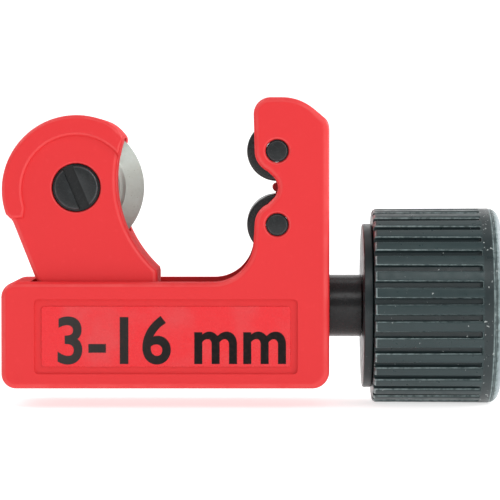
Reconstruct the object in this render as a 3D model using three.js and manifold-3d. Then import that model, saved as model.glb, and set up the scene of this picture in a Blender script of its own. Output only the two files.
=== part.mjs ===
// Mini pipe cutter for copper, brass and thin steel pipe of 3 to 16 mm.
//
// A channel-shaped die-cast frame carries two rollers between the cheeks of its upright arm. A cast
// slide runs in the channel and holds the cutting wheel in a fork. The knob turns an M6 feed screw
// that is held endwise in the frame, so that the slide is drawn towards the rollers by one pitch for
// each turn.
//
// Units are millimetres. X runs along the feed screw towards the knob, Y from the front face to the
// back, and Z up. The origin is the centre of the frame's flat bottom face. The slide stands half a
// millimetre short of fully open.
import * as THREE from "three";
import { mergeVertices } from "three/addons/utils/BufferGeometryUtils.js";
import Module from "manifold-3d";

const wasm = await Module();
wasm.setup();

const DEG = Math.PI / 180;
const QUARTER = Math.PI / 2;
const OVERLAP = 0.4; // how far joined solids run into each other, and cutters run past a face

// ---- Driving dimensions ----

const FRAME_LENGTH = 44.6;
const FRAME_WIDTH = 22;
const CHANNEL_WIDTH = 17.2;
const CHANNEL_TOP = 14.5;
const FLOOR = 2.5; // thickness of the channel's floor
const ARM_TOP = 39.6;
const ARM_DEPTH = 10.3; // size of the roller arm along X
const LEFT_WALL = 3.8;
const RIGHT_WALL = 6.4;

const JAW_Z = 27.3; // height of the cutting wheel, and of the middle between the rollers
const SCREW_Z = 10.85;

const ROLLER_R = 4.1;
const ROLLER_SPACING = 10;
const ROLLER_X = 15.2;
const PIN_R = 1.5;

const WHEEL_X = -12.2;
const WHEEL_R = 9;

const SLIDE_WIDTH = 16.8;
const HEAD = { x: -12.15, z: 27, r: 10.2 }; // round head of the slide around the wheel
const FORK_SLOT = 6; // width of the pocket that the wheel turns in

const THREAD_R = 3; // M6
const THREAD_PITCH = 1;
const THREAD_STEPS = 12; // flats in one turn of a thread

const KNOB_R = 13.5;
const KNOB_RIBS = 36;

const RUNNING = 0.1; // radial clearance of turning pieces
const SEATED = 0.03; // radial clearance of pieces that are pressed or screwed together

// ---- Places worked out from them ----

const LEFT = -FRAME_LENGTH / 2;
const RIGHT = FRAME_LENGTH / 2;
const ARM_LEFT = RIGHT - ARM_DEPTH;
const CHANNEL_LEFT = LEFT + LEFT_WALL;
const CHANNEL_RIGHT = RIGHT - RIGHT_WALL;
const ROLLER_HEIGHTS = { lower: JAW_Z - ROLLER_SPACING / 2, upper: JAW_Z + ROLLER_SPACING / 2 };

// ---- Shape helpers ----

// The solid inside a closed geometry, whichever way its faces are wound.
function solidOf(geometry) {
  const bare = geometry.clone();
  bare.deleteAttribute("normal");
  bare.deleteAttribute("uv");
  const merged = mergeVertices(bare);
  const corners = merged.index.array;
  const triVerts = [];
  for (let i = 0; i < corners.length; i += 3) {
    const [a, b, c] = [corners[i], corners[i + 1], corners[i + 2]];
    if (a !== b && b !== c && a !== c) triVerts.push(a, b, c);
  }
  const vertProperties = merged.getAttribute("position").array;
  const wound = (order) => {
    const mesh = new wasm.Mesh({ numProp: 3, vertProperties, triVerts: new Uint32Array(order) });
    return new wasm.Manifold(mesh);
  };
  const made = wound(triVerts);
  return made.volume() > 0 ? made : wound(triVerts.reverse());
}

function geometryOf(solid) {
  const { vertProperties, triVerts } = solid.getMesh();
  const geometry = new THREE.BufferGeometry();
  geometry.setAttribute("position", new THREE.BufferAttribute(new Float32Array(vertProperties), 3));
  geometry.setIndex(new THREE.BufferAttribute(new Uint32Array(triVerts), 1));
  geometry.computeVertexNormals();
  return geometry;
}

// An outline in X and Z, extruded along Y from one depth to another, with rounded edges if asked.
function plate(shape, fromY, toY, { curveSegments = 6, edge = 0 } = {}) {
  const geometry = new THREE.ExtrudeGeometry(shape, {
    depth: toY - fromY - 2 * edge,
    curveSegments,
    bevelEnabled: edge > 0,
    bevelSize: edge,
    bevelThickness: edge,
    bevelOffset: -edge,
    bevelSegments: 2,
  });
  geometry.translate(0, 0, edge - toY);
  geometry.rotateX(QUARTER);
  return solidOf(geometry);
}

function box(low, high) {
  const size = high.map((value, i) => value - low[i]);
  const geometry = new THREE.BoxGeometry(...size);
  geometry.translate(...high.map((value, i) => (value + low[i]) / 2));
  return solidOf(geometry);
}

// A profile of [radius, position] points turned about a line parallel to Y through (x, z).
function turnedAboutY(profile, x, z, segments = 32) {
  const points = profile.map(([r, y]) => new THREE.Vector2(r, y));
  const geometry = new THREE.LatheGeometry(points, segments);
  geometry.translate(x, 0, z);
  return solidOf(geometry);
}

// A profile of [radius, position along X] points turned about the feed screw's axis.
function turnedAboutScrew(profile, segments = 32) {
  const points = profile.map(([r, x]) => new THREE.Vector2(r, x));
  const geometry = new THREE.LatheGeometry(points, segments);
  geometry.rotateZ(-QUARTER);
  geometry.translate(0, 0, SCREW_Z);
  return solidOf(geometry);
}

function rodAboutY(radius, fromY, toY, x, z, segments = 32) {
  return turnedAboutY([[0, fromY], [radius, fromY], [radius, toY], [0, toY]], x, z, segments);
}

function rodAboutScrew(radius, fromX, toX, segments = 32) {
  return turnedAboutScrew([[0, fromX], [radius, fromX], [radius, toX], [0, toX]], segments);
}

// A helical ridge about the feed screw's axis. Its section is [radius, offset along X] points.
function helicalRidge(section, fromX, turns) {
  const steps = Math.round(turns * THREAD_STEPS);
  const corners = section.length;
  const positions = [];
  const index = [];
  for (let step = 0; step <= steps; step += 1) {
    const turn = step / THREAD_STEPS;
    const angle = turn * 2 * Math.PI;
    for (const [r, offset] of section) {
      const x = fromX + turn * THREAD_PITCH + offset;
      positions.push(x, r * Math.cos(angle), SCREW_Z + r * Math.sin(angle));
    }
  }
  for (let step = 0; step < steps; step += 1) {
    for (let side = 0; side < corners; side += 1) {
      const a = step * corners + side;
      const b = step * corners + ((side + 1) % corners);
      index.push(a, b, a + corners, b, b + corners, a + corners);
    }
  }
  for (let corner = 1; corner < corners - 1; corner += 1) {
    const end = steps * corners;
    index.push(0, corner + 1, corner, end, end + corner, end + corner + 1);
  }
  const geometry = new THREE.BufferGeometry();
  geometry.setAttribute("position", new THREE.Float32BufferAttribute(positions, 3));
  geometry.setIndex(index);
  return solidOf(geometry);
}

// ---- Materials ----

function finish(color, roughness, metalness) {
  return new THREE.MeshStandardMaterial({ color, roughness, metalness });
}

const redPaint = finish(0xd8262c, 0.35, 0);
const blackKnob = finish(0x2b3033, 0.4, 0);
const blackSteel = finish(0x25272a, 0.35, 0.8);
const wheelSteel = finish(0x9d9a8e, 0.35, 0.9);
const plainSteel = finish(0xb5b7ba, 0.3, 1);
const labelFilm = finish(0xdb3a3c, 0.2, 0);

const cutter = new THREE.Group();

function addPiece(name, solid, material) {
  const mesh = new THREE.Mesh(geometryOf(solid), material);
  mesh.name = name;
  cutter.add(mesh);
}

// ---- Frame ----

const LOBE_R = 3.05; // round of each cheek about a roller pin
const NOTCH_R = 2.1; // hollow in the cheeks between the rollers
const NOTCH_X = 13.2;
const ARM_FILLET = 5.5;
const EDGE_ROUND = 0.8; // rounding of the frame's front and back edges

// The side view of the frame: channel, arm, and the cheeks' edge around the rollers.
function frameOutline() {
  const bottomLeftR = 2;
  const bottomRightR = 2.3;
  const topLeftR = 2.1;
  const armCornerR = 2.3;
  const shape = new THREE.Shape();
  shape.moveTo(LEFT + bottomLeftR, 0);
  shape.lineTo(RIGHT - bottomRightR, 0);
  shape.absarc(RIGHT - bottomRightR, bottomRightR, bottomRightR, -QUARTER, 0, false);
  shape.lineTo(RIGHT, ARM_TOP - 4.6);
  shape.quadraticCurveTo(RIGHT, ARM_TOP - 3.35, RIGHT - 0.6, ARM_TOP - 2.85);
  shape.lineTo(RIGHT - 1.9, ARM_TOP - 1.75);
  shape.quadraticCurveTo(RIGHT - 3.95, ARM_TOP, RIGHT - 6.4, ARM_TOP);
  shape.lineTo(ARM_LEFT + armCornerR, ARM_TOP);
  shape.absarc(ARM_LEFT + armCornerR, ARM_TOP - armCornerR, armCornerR, QUARTER, Math.PI, false);
  shape.absarc(ROLLER_X, ROLLER_HEIGHTS.upper, LOBE_R, 180 * DEG, 245 * DEG, false);
  shape.absarc(NOTCH_X, JAW_Z, NOTCH_R, 45 * DEG, -45 * DEG, true);
  shape.absarc(ROLLER_X, ROLLER_HEIGHTS.lower, LOBE_R, 115 * DEG, 180 * DEG, false);
  shape.absarc(ARM_LEFT - ARM_FILLET, CHANNEL_TOP + ARM_FILLET, ARM_FILLET, 0, -QUARTER, true);
  shape.lineTo(LEFT + topLeftR, CHANNEL_TOP);
  shape.absarc(LEFT + topLeftR, CHANNEL_TOP - topLeftR, topLeftR, QUARTER, Math.PI, false);
  shape.absarc(LEFT + bottomLeftR, bottomLeftR, bottomLeftR, Math.PI, 1.5 * Math.PI, false);
  return shape;
}

const ARM_BACK = 2.2; // wall behind and above the rollers
const BEARING_TOP = 16.8; // top of the thick wall that the feed screw turns in

// The side view of the room for the slide and the rollers, open to the top and to the jaw.
function cavityOutline() {
  const shape = new THREE.Shape();
  shape.moveTo(CHANNEL_LEFT, FLOOR);
  shape.lineTo(CHANNEL_RIGHT, FLOOR);
  shape.lineTo(CHANNEL_RIGHT, BEARING_TOP);
  shape.lineTo(RIGHT - ARM_BACK, BEARING_TOP);
  shape.lineTo(RIGHT - ARM_BACK, ARM_TOP - ARM_BACK);
  shape.lineTo(0, ARM_TOP - ARM_BACK);
  shape.lineTo(0, JAW_Z);
  shape.lineTo(CHANNEL_LEFT, JAW_Z);
  return shape;
}

// The rib between the rollers: half its thickness, its nose, and how far it comes forward.
const RIB = { half: 0.6, noseX: 14.65, front: -3 };

function rollerRib() {
  const shape = new THREE.Shape();
  shape.moveTo(RIGHT - ARM_BACK + OVERLAP, JAW_Z + RIB.half);
  shape.absarc(RIB.noseX + RIB.half, JAW_Z, RIB.half, QUARTER, 3 * QUARTER, false);
  shape.lineTo(RIGHT - ARM_BACK + OVERLAP, JAW_Z - RIB.half);
  return plate(shape, RIB.front, CHANNEL_WIDTH / 2 + OVERLAP, { curveSegments: 4 });
}

const PANEL = { left: -17.8, right: 18, bottom: 2, top: 12.2, depth: 0.45 };
const JOURNAL_R = 3.1; // plain stretch of the feed screw in the thick wall
const PILOT_R = 2.35; // plain end of the feed screw in the far wall
const PILOT_HOLE_DEPTH = 2;

// What a shallow panel in the front or back face takes away, between two depths.
function panelCut(fromY, toY) {
  return box([PANEL.left, fromY, PANEL.bottom], [PANEL.right, toY, PANEL.top]);
}

function frameCasting() {
  const half = FRAME_WIDTH / 2;
  const past = half + OVERLAP;
  const pilotEnd = CHANNEL_LEFT - PILOT_HOLE_DEPTH;
  const cuts = [
    rodAboutScrew(JOURNAL_R + RUNNING, CHANNEL_RIGHT - OVERLAP, RIGHT + OVERLAP),
    rodAboutScrew(PILOT_R + RUNNING, pilotEnd, CHANNEL_LEFT + OVERLAP, 24),
    panelCut(-past, PANEL.depth - half),
    panelCut(half - PANEL.depth, past),
  ];
  for (const z of Object.values(ROLLER_HEIGHTS)) {
    cuts.push(rodAboutY(PIN_R + SEATED, -past, past, ROLLER_X, z, 24));
  }
  const room = plate(cavityOutline(), -CHANNEL_WIDTH / 2, CHANNEL_WIDTH / 2);
  const bare = plate(frameOutline(), -half, half, { edge: EDGE_ROUND }).subtract(room);
  return cuts.reduce((solid, cut) => solid.subtract(cut), bare.add(rollerRib()));
}

addPiece("frame_casting", frameCasting(), redPaint);

// A thin printed film in the front panel.
const FILM = { margin: 1, thickness: 0.2 };

function sizeLabel() {
  const back = PANEL.depth - FRAME_WIDTH / 2;
  return box(
    [PANEL.left + FILM.margin, back - FILM.thickness, PANEL.bottom + FILM.margin],
    [PANEL.right - FILM.margin, back, PANEL.top - FILM.margin],
  );
}

addPiece("size_label", sizeLabel(), labelFilm);

// ---- Rollers ----

const ROLLER_LENGTH = 16.6;
const FLARE_GROOVE = { width: 3.4, depth: 1 }; // lets the rollers clear a flared pipe end

function roller(z) {
  const half = ROLLER_LENGTH / 2;
  const chamfer = 0.4;
  const bore = PIN_R + RUNNING;
  const waist = ROLLER_R - FLARE_GROOVE.depth;
  const inner = FLARE_GROOVE.width / 2;
  const profile = [
    [bore, -half],
    [ROLLER_R - chamfer, -half],
    [ROLLER_R, chamfer - half],
    [ROLLER_R, -inner - FLARE_GROOVE.depth],
    [waist, -inner],
    [waist, inner],
    [ROLLER_R, inner + FLARE_GROOVE.depth],
    [ROLLER_R, half - chamfer],
    [ROLLER_R - chamfer, half],
    [bore, half],
    [bore, -half],
  ];
  return turnedAboutY(profile, ROLLER_X, z, 28);
}

function rollerPin(z) {
  const half = FRAME_WIDTH / 2;
  const chamfer = 0.3;
  const profile = [
    [0, -half],
    [PIN_R - chamfer, -half],
    [PIN_R, chamfer - half],
    [PIN_R, half - chamfer],
    [PIN_R - chamfer, half],
    [0, half],
  ];
  return turnedAboutY(profile, ROLLER_X, z, 24);
}

for (const [place, z] of Object.entries(ROLLER_HEIGHTS)) {
  addPiece(`${place}_roller`, roller(z), blackSteel);
  addPiece(`${place}_roller_pin`, rollerPin(z), blackSteel);
}

// ---- Slide ----

const FOOT = { left: -17.8, right: -1.1, bottom: FLOOR + 0.1 };
const THROAT = { x: 10.1, z: 28.4, r: 16.75 }; // hollow edge of the fork, which clears the pipe

// The side view of the slide: its foot in the channel, and the round head above.
function slideOutline() {
  const shape = new THREE.Shape();
  shape.moveTo(FOOT.left, FOOT.bottom);
  shape.lineTo(FOOT.right, FOOT.bottom);
  shape.lineTo(FOOT.right, CHANNEL_TOP + 1);
  shape.absarc(THROAT.x, THROAT.z, THROAT.r, 228 * DEG, 159 * DEG, true);
  shape.absarc(HEAD.x, HEAD.z, HEAD.r, 48 * DEG, 200 * DEG, false);
  shape.lineTo(HEAD.x - 8.8, HEAD.z - 4.05);
  shape.lineTo(FOOT.left, CHANNEL_TOP + 0.4);
  return shape;
}

const RIM = { width: 2.8, height: 0.5 }; // raised rim round the head

function headRim() {
  const shape = new THREE.Shape();
  shape.absarc(HEAD.x, HEAD.z, HEAD.r + OVERLAP, 20 * DEG, 202 * DEG, false);
  shape.lineTo(HEAD.x - 7.2, HEAD.z - 3.9);
  shape.absarc(HEAD.x, HEAD.z, HEAD.r - RIM.width, 200 * DEG, 20 * DEG, true);
  const half = SLIDE_WIDTH / 2 + RIM.height;
  const outline = plate(slideOutline(), -half, half, { curveSegments: 12 });
  return plate(shape, -half - OVERLAP, half + OVERLAP, { curveSegments: 12 }).intersect(outline);
}

const WHEEL_CLEARANCE = 0.35; // between the wheel's edge and the pocket it turns in
const HEAD_SEAT = { r: 3.3, depth: 1.9 }; // counterbore for the axle screw's head
const AXLE_R = 2.5;
const AXLE_THREAD_R = 2;

// A round pocket for the wheel, open to the left so that the wheel can be put in. A thin bridge stays
// over the upper right of the wheel.
function forkSlot() {
  const reach = WHEEL_R + WHEEL_CLEARANCE;
  const shape = new THREE.Shape();
  shape.absarc(WHEEL_X, JAW_Z, reach, -90 * DEG, 90 * DEG, false);
  shape.lineTo(WHEEL_X - 2 * reach, JAW_Z + reach);
  shape.lineTo(WHEEL_X - 2 * reach, JAW_Z - reach);
  return plate(shape, -FORK_SLOT / 2, FORK_SLOT / 2, { curveSegments: 14 });
}

const THREAD_DEPTH = 0.55;
const THREAD_PLAY = { radial: 0.15, axial: 0.1 }; // gaps between the two threads
const WHOLE_THREAD = { radial: 0, axial: 0 };
const CREST = 0.08; // half widths of the screw's ridge, at its crest and a little inside the core
const BASE = 0.42;
const NUT_LENGTH = 8; // threaded stretch at the right end of the slide's bore

// The ridge of the feed screw's thread, grown by a gap for the groove in the slide.
function threadRidge(gap, fromX, turns) {
  const root = THREAD_R - THREAD_DEPTH - 0.2;
  const crest = THREAD_R + gap.radial;
  const section = [
    [root, -BASE - gap.axial],
    [crest, -CREST - gap.axial],
    [crest, CREST + gap.axial],
    [root, BASE + gap.axial],
  ];
  return helicalRidge(section, fromX, turns);
}

// Both threads start a whole number of turns from here, so that they mesh at rest.
const THREAD_START = -10;
const THREAD_END = 13.4;

function slideCasting() {
  const half = SLIDE_WIDTH / 2;
  const past = half + OVERLAP;
  const nutLeft = FOOT.right - NUT_LENGTH;
  const nutTurns = NUT_LENGTH / THREAD_PITCH + 2;
  const nutR = THREAD_R - THREAD_DEPTH + 0.2;
  const cuts = [
    forkSlot(),
    rodAboutY(AXLE_R + SEATED, -past, 0, WHEEL_X, JAW_Z, 24),
    rodAboutY(AXLE_THREAD_R + SEATED, 0, past, WHEEL_X, JAW_Z, 24),
    rodAboutY(HEAD_SEAT.r, -past, HEAD_SEAT.depth - half, WHEEL_X, JAW_Z),
    rodAboutScrew(nutR, nutLeft - OVERLAP, FOOT.right + OVERLAP, THREAD_STEPS),
    rodAboutScrew(THREAD_R + 0.3, FOOT.left - OVERLAP, nutLeft, 24),
    threadRidge(THREAD_PLAY, THREAD_START, nutTurns),
  ];
  const cheeks = plate(slideOutline(), -half, half, { curveSegments: 12 });
  return cuts.reduce((solid, cut) => solid.subtract(cut), cheeks.add(headRim()));
}

addPiece("slide_casting", slideCasting(), redPaint);

// ---- Cutting wheel and its axle screw ----

const WHEEL_BORE = AXLE_R + RUNNING;
const WHEEL_HUB_HALF = 2.2;
const SIDE_WASHER_R = 5.2;

function cuttingWheel() {
  const hub = { r: 6.1, half: WHEEL_HUB_HALF };
  const disc = { r: 6.5, half: 1.4 };
  const edgeHalf = 0.08;
  const profile = [
    [WHEEL_BORE, -hub.half],
    [hub.r - 0.3, -hub.half],
    [hub.r, 0.3 - hub.half],
    [disc.r, -disc.half],
    [WHEEL_R, -edgeHalf],
    [WHEEL_R, edgeHalf],
    [disc.r, disc.half],
    [hub.r, hub.half - 0.3],
    [hub.r - 0.3, hub.half],
    [WHEEL_BORE, hub.half],
    [WHEEL_BORE, -hub.half],
  ];
  return turnedAboutY(profile, WHEEL_X, JAW_Z, 40);
}

const SLOT = { width: 1.5, depth: 0.9, tilt: 23 * DEG };

function axleScrew() {
  const half = SLIDE_WIDTH / 2;
  const front = -half - 0.1;
  const headR = HEAD_SEAT.r - 0.3;
  const flangeR = HEAD_SEAT.r - 0.08;
  const shoulder = FORK_SLOT / 2;
  const profile = [
    [0, front],
    [headR - 0.35, front],
    [headR, front + 0.35],
    [headR, front + 0.7],
    [flangeR, front + 0.7],
    [flangeR, HEAD_SEAT.depth - half - SEATED],
    [AXLE_R, HEAD_SEAT.depth - half - SEATED],
    [AXLE_R, -0.1],
    [AXLE_R, shoulder - SEATED],
    [AXLE_THREAD_R, shoulder - SEATED],
    [AXLE_THREAD_R, half - 0.5],
    [AXLE_THREAD_R - 0.3, half - 0.2],
    [0, half - 0.2],
  ];
  const reach = headR + OVERLAP;
  const slot = new THREE.BoxGeometry(SLOT.width, 2 * SLOT.depth, 2 * reach);
  slot.rotateY(-SLOT.tilt);
  slot.translate(WHEEL_X, front, JAW_Z);
  return turnedAboutY(profile, WHEEL_X, JAW_Z, 24).subtract(solidOf(slot));
}

// The washer between the wheel and a cheek of the fork, in front (side -1) or behind (side 1).
function wheelWasher(side) {
  const inner = side * (WHEEL_HUB_HALF + 0.1);
  const outer = side * (FORK_SLOT / 2 - 0.1);
  const bore = AXLE_R + RUNNING;
  const section = [
    [bore, inner],
    [SIDE_WASHER_R, inner],
    [SIDE_WASHER_R, outer],
    [bore, outer],
    [bore, inner],
  ];
  return turnedAboutY(section, WHEEL_X, JAW_Z);
}

addPiece("cutting_wheel", cuttingWheel(), wheelSteel);
addPiece("wheel_washer_front", wheelWasher(-1), plainSteel);
addPiece("wheel_washer_rear", wheelWasher(1), plainSteel);
addPiece("wheel_axle_screw", axleScrew(), blackSteel);

// ---- Feed screw and what holds it endwise ----

const NECK = { r: 4.3, left: RIGHT + 0.1, right: 26.95 }; // spacer sleeve, from the frame to the knob
const SPIGOT = { r: 2.6, left: 27, right: 38.5, flat: 2 }; // the end that drives the knob by a flat
const RING_GROOVE = { left: 14.3, right: 15, r: 2.45 };
const KNOB_SCREW_R = 1.5;
const KNOB_SCREW_DEPTH = 7;

function feedScrew() {
  const core = THREAD_R - THREAD_DEPTH;
  const tip = CHANNEL_LEFT - PILOT_HOLE_DEPTH + 0.4;
  const pilot = [
    [0, tip],
    [PILOT_R - 0.5, tip],
    [PILOT_R, tip + 0.5],
    [PILOT_R, THREAD_START],
    [0, THREAD_START],
  ];
  const shank = [
    [0, THREAD_END],
    [JOURNAL_R, THREAD_END],
    [JOURNAL_R, RING_GROOVE.left],
    [RING_GROOVE.r, RING_GROOVE.left],
    [RING_GROOVE.r, RING_GROOVE.right],
    [JOURNAL_R, RING_GROOVE.right],
    [JOURNAL_R, SPIGOT.left],
    [SPIGOT.r, SPIGOT.left],
    [SPIGOT.r, SPIGOT.right],
    [KNOB_SCREW_R + SEATED, SPIGOT.right],
    [KNOB_SCREW_R + SEATED, SPIGOT.right - KNOB_SCREW_DEPTH],
    [0, SPIGOT.right - KNOB_SCREW_DEPTH],
  ];
  const flat = box(
    [SPIGOT.left, -SPIGOT.r - OVERLAP, SCREW_Z + SPIGOT.flat],
    [SPIGOT.right + OVERLAP, SPIGOT.r + OVERLAP, SCREW_Z + SPIGOT.r + OVERLAP],
  );
  const turns = Math.round((THREAD_END - THREAD_START) / THREAD_PITCH);
  const ridge = threadRidge(WHOLE_THREAD, THREAD_START, turns);
  const middle = rodAboutScrew(core, THREAD_START - OVERLAP, THREAD_END + OVERLAP, THREAD_STEPS);
  const ends = turnedAboutScrew(pilot, 24).add(turnedAboutScrew(shank, 24));
  return ends.add(middle).add(ridge).subtract(flat);
}

// An open spring ring that snaps into the feed screw's groove from one side.
function retainingRing() {
  const outer = 4.6;
  const mouth = 70 * DEG;
  const inner = RING_GROOVE.r + SEATED;
  const shape = new THREE.Shape();
  const start = QUARTER + mouth / 2;
  const end = QUARTER - mouth / 2 + 2 * Math.PI;
  shape.absarc(0, 0, outer, start, end, false);
  shape.absarc(0, 0, inner, end, start, true);
  const depth = RING_GROOVE.right - RING_GROOVE.left - 0.1;
  const geometry = new THREE.ExtrudeGeometry(shape, { depth, bevelEnabled: false, curveSegments: 20 });
  geometry.rotateZ(QUARTER);
  geometry.rotateY(QUARTER);
  geometry.translate(RING_GROOVE.left + 0.05, 0, SCREW_Z);
  return solidOf(geometry);
}

// A flat ring about the feed screw's axis.
function washer(inner, outer, fromX, toX) {
  return turnedAboutScrew([
    [inner, fromX],
    [outer, fromX],
    [outer, toX],
    [inner, toX],
    [inner, fromX],
  ]);
}

addPiece("feed_screw", feedScrew(), blackSteel);
addPiece("neck_sleeve", washer(JOURNAL_R + SEATED, NECK.r, NECK.left, NECK.right), blackSteel);
addPiece("retaining_ring", retainingRing(), plainSteel);
addPiece(
  "thrust_washer",
  washer(JOURNAL_R + 0.1, 5.4, RING_GROOVE.right + 0.1, CHANNEL_RIGHT - 0.1),
  plainSteel,
);

// ---- Knob ----

const FLANGE = { r: 11.35, left: SPIGOT.left + 0.05, right: 28.3 };
const SLEEVE = { left: FLANGE.right + 0.1, ribsEnd: 43.1, right: 44.7, bore: 10.6 };
const CORE = { r: SLEEVE.bore - SEATED, left: FLANGE.right + 0.05, right: 42.2, pocketR: 6 };
const RIB_DEPTH = 0.65;

function knobCore() {
  const bore = SPIGOT.r + SEATED;
  const profile = [
    [bore, CORE.left],
    [CORE.r, CORE.left],
    [CORE.r, CORE.right],
    [CORE.pocketR, CORE.right],
    [CORE.pocketR, SPIGOT.right + 0.1],
    [bore, SPIGOT.right + 0.1],
    [bore, CORE.left],
  ];
  const drive = box(
    [CORE.left, -bore - OVERLAP, SCREW_Z + SPIGOT.flat + SEATED],
    [SPIGOT.right, bore + OVERLAP, SCREW_Z + bore + OVERLAP],
  );
  return turnedAboutScrew(profile, 36).add(drive);
}

// The ribbed sleeve: equal ribs and grooves over most of its length, then a plain band.
function knobSleeve() {
  const pitch = (2 * Math.PI) / KNOB_RIBS;
  const groundR = KNOB_R - RIB_DEPTH;
  const corners = [
    [-0.27, KNOB_R],
    [0.27, KNOB_R],
    [0.36, groundR],
    [0.64, groundR],
  ];
  const outline = [];
  for (let rib = 0; rib < KNOB_RIBS; rib += 1) {
    for (const [share, r] of corners) {
      const angle = (rib + share) * pitch;
      outline.push(new THREE.Vector2(r * Math.cos(angle), r * Math.sin(angle)));
    }
  }
  const ribs = new THREE.ExtrudeGeometry(new THREE.Shape(outline), {
    depth: SLEEVE.ribsEnd - SLEEVE.left,
    bevelEnabled: false,
  });
  ribs.rotateY(QUARTER);
  ribs.translate(SLEEVE.left, 0, SCREW_Z);
  const band = turnedAboutScrew(
    [
      [0, SLEEVE.ribsEnd - OVERLAP],
      [KNOB_R, SLEEVE.ribsEnd - OVERLAP],
      [KNOB_R, SLEEVE.right],
      [0, SLEEVE.right],
    ],
    72,
  );
  const bore = rodAboutScrew(SLEEVE.bore, SLEEVE.left - OVERLAP, SLEEVE.right + OVERLAP, 48);
  return solidOf(ribs).add(band).subtract(bore);
}

const CAP = { left: CORE.right + 0.1, right: 46.2, edgeR: 13.2 };

// The domed end cap, with a plug that fills the sleeve's mouth.
function knobEndCap() {
  const plug = SLEEVE.bore - 0.1;
  const profile = [
    [0, CAP.left],
    [plug, CAP.left],
    [plug, SLEEVE.right + 0.05],
    [CAP.edgeR, SLEEVE.right + 0.05],
    [CAP.edgeR, SLEEVE.right + 0.4],
    [CAP.edgeR - 0.35, CAP.right - 0.6],
    [CAP.edgeR - 1.1, CAP.right - 0.25],
    [CAP.edgeR / 2, CAP.right - 0.06],
    [0, CAP.right],
  ];
  return turnedAboutScrew(profile, 48);
}

const KNOB_WASHER = { r: 4.6, left: SPIGOT.right + 0.15, right: SPIGOT.right + 0.95 };

function knobScrew() {
  const headLeft = KNOB_WASHER.right + 0.05;
  const headRight = headLeft + 1.7;
  const profile = [
    [0, SPIGOT.right - KNOB_SCREW_DEPTH + 0.3],
    [KNOB_SCREW_R, SPIGOT.right - KNOB_SCREW_DEPTH + 0.3],
    [KNOB_SCREW_R, headLeft],
    [2.8, headLeft],
    [2.8, headRight - 0.5],
    [2.1, headRight],
    [0, headRight],
  ];
  const slot = box([headRight - 0.8, -3, SCREW_Z - 0.4], [headRight + OVERLAP, 3, SCREW_Z + 0.4]);
  return turnedAboutScrew(profile, 24).subtract(slot);
}

addPiece("knob_flange", washer(SPIGOT.r + SEATED, FLANGE.r, FLANGE.left, FLANGE.right), blackKnob);
addPiece("knob_core", knobCore(), blackKnob);
addPiece("knob_sleeve", knobSleeve(), blackKnob);
addPiece("knob_end_cap", knobEndCap(), blackKnob);
addPiece(
  "knob_washer",
  washer(KNOB_SCREW_R + 0.15, KNOB_WASHER.r, KNOB_WASHER.left, KNOB_WASHER.right),
  plainSteel,
);
addPiece("knob_screw", knobScrew(), plainSteel);

export default cutter;
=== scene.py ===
"""Looks of the small pipe cutter: fine shapes, procedural materials, light and camera.

Shapes are worked out in millimetres in the part's own frame: X towards the knob, Y to the back, Z up.
"""

import math

import bmesh
import bpy
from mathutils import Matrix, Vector

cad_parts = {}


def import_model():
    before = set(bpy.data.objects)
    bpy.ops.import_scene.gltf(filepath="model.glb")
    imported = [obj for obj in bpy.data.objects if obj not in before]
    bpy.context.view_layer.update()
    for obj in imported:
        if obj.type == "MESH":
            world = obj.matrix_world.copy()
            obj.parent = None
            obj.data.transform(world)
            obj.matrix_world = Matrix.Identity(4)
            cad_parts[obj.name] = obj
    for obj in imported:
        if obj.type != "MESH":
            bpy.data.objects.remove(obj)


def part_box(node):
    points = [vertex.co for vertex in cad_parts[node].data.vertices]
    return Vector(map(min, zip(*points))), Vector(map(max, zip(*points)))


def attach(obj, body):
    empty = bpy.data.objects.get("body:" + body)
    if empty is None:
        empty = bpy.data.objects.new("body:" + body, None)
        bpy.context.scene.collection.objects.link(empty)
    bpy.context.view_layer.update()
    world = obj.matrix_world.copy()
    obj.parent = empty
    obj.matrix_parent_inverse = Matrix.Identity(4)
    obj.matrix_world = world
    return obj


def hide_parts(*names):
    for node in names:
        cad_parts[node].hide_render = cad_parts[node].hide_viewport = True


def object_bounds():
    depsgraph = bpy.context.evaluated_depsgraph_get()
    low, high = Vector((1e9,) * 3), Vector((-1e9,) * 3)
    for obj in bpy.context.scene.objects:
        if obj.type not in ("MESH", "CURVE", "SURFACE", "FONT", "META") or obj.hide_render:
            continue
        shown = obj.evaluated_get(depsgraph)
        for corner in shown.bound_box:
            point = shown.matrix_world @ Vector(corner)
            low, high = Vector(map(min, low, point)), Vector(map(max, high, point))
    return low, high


MM = 0.001

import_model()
cad_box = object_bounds()


# ---- Sizes taken from the CAD nodes ----


def box_mm(node):
    low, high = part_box(node)
    return [v / MM for v in low], [v / MM for v in high]


def middle(node):
    low, high = box_mm(node)
    return [(a + b) / 2 for a, b in zip(low, high)]


(LEFT, FRONT, _), (RIGHT, BACK, ARM_TOP) = box_mm("frame_casting")
WHEEL_X, _, JAW_Z = middle("cutting_wheel")
AXLE = (WHEEL_X, JAW_Z)
SCREW_Z = middle("knob_sleeve")[2]
SCREW_AXIS = (0, SCREW_Z)
ROLLER_X = middle("upper_roller")[0]
ROLLER_ZS = {"upper": middle("upper_roller")[2], "lower": middle("lower_roller")[2]}
PIN_R = (box_mm("upper_roller_pin")[1][0] - box_mm("upper_roller_pin")[0][0]) / 2
SLIDE_LOW, SLIDE_HIGH = box_mm("slide_casting")
SLEEVE_LEFT = box_mm("knob_sleeve")[0][0]

# ---- Sizes that a node's box doesn't hold ----

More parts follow.
